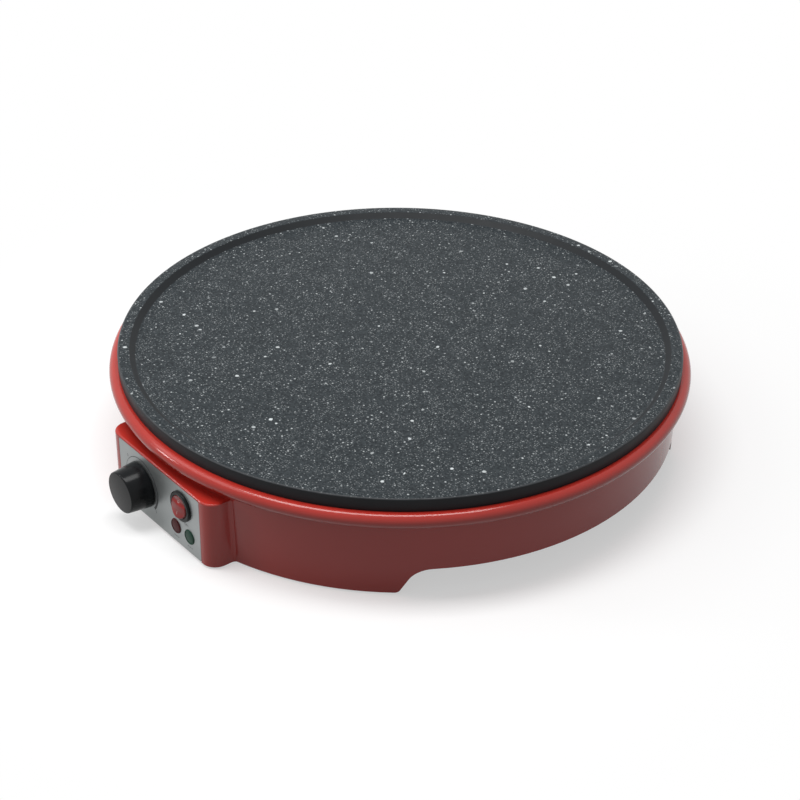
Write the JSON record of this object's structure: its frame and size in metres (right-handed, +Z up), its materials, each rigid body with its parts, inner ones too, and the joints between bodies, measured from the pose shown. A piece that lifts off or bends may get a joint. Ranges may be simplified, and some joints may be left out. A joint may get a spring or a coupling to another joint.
{
  "type": "electric crepe maker",
  "caption": "Round non-stick crepe plate with a raised edge on a low moulded base with side hand cut-outs and a front control box with knob, rocker switch and indicator lights.",
  "frame": {"origin": "on the table plane, under the axis of the round plate", "axes": "+Z up, -Y towards the control panel (front), +X to the right of someone facing the panel"},
  "size_m": [0.3976, 0.4139, 0.075],
  "materials": {
    "coated_plate": "black stone-effect non-stick coating with pale speckles, satin",
    "red_shell": "glossy red moulded plastic",
    "silver_panel": "satin silver sheet",
    "black_plastic": "black moulded plastic, satin",
    "red_lens": "clear red plastic",
    "green_lens": "clear green plastic",
    "sheet_steel": "plain sheet steel",
    "cover_black": "black enamelled sheet",
    "zinc_steel": "zinc plated steel",
    "foot_rubber": "black rubber",
    "brass_tag": "brass",
    "white_nylon": "off-white nylon"
  },
  "bodies": {
    "base": {"cooking_plate": "coated_plate", "heating_element": "sheet_steel", "element_terminals": "zinc_steel", "heat_reflector": "sheet_steel", "tie_stud": "zinc_steel", "tie_nuts": "zinc_steel", "tie_washer": "zinc_steel", "base_housing": "red_shell", "faceplate": "silver_panel", "bottom_cover": "cover_black", "cover_screws": "zinc_steel", "rubber_feet": "foot_rubber", "thermostat_body": "zinc_steel", "thermostat_nut": "zinc_steel", "thermostat_sensor": "brass_tag", "sensor_clips": "sheet_steel", "switch_housing": "black_plastic", "switch_terminals": "brass_tag", "red_light": "red_lens", "green_light": "green_lens", "light_clips": "zinc_steel", "thermal_cutout": "black_plastic", "cord_gland": "black_plastic", "terminal_block": "white_nylon", "terminal_screws": "brass_tag"},
    "knob": {"temperature_knob": "black_plastic", "thermostat_shaft": "zinc_steel"},
    "rocker": {"switch_rocker": "red_lens"}
  },
  "joints": [
    {"name": "knob_turn", "type": "hinge", "parent": "base", "child": "knob", "pos_m": [-0.0209, -0.1984, 0.0251], "axis": [0, 1, 0], "range_deg": [0, 270]},
    {"name": "rocker_tilt", "type": "hinge", "parent": "base", "child": "rocker", "pos_m": [0.0264, -0.199, 0.0343], "axis": [1, 0, 0], "range_deg": [0, 16]}
  ]
}
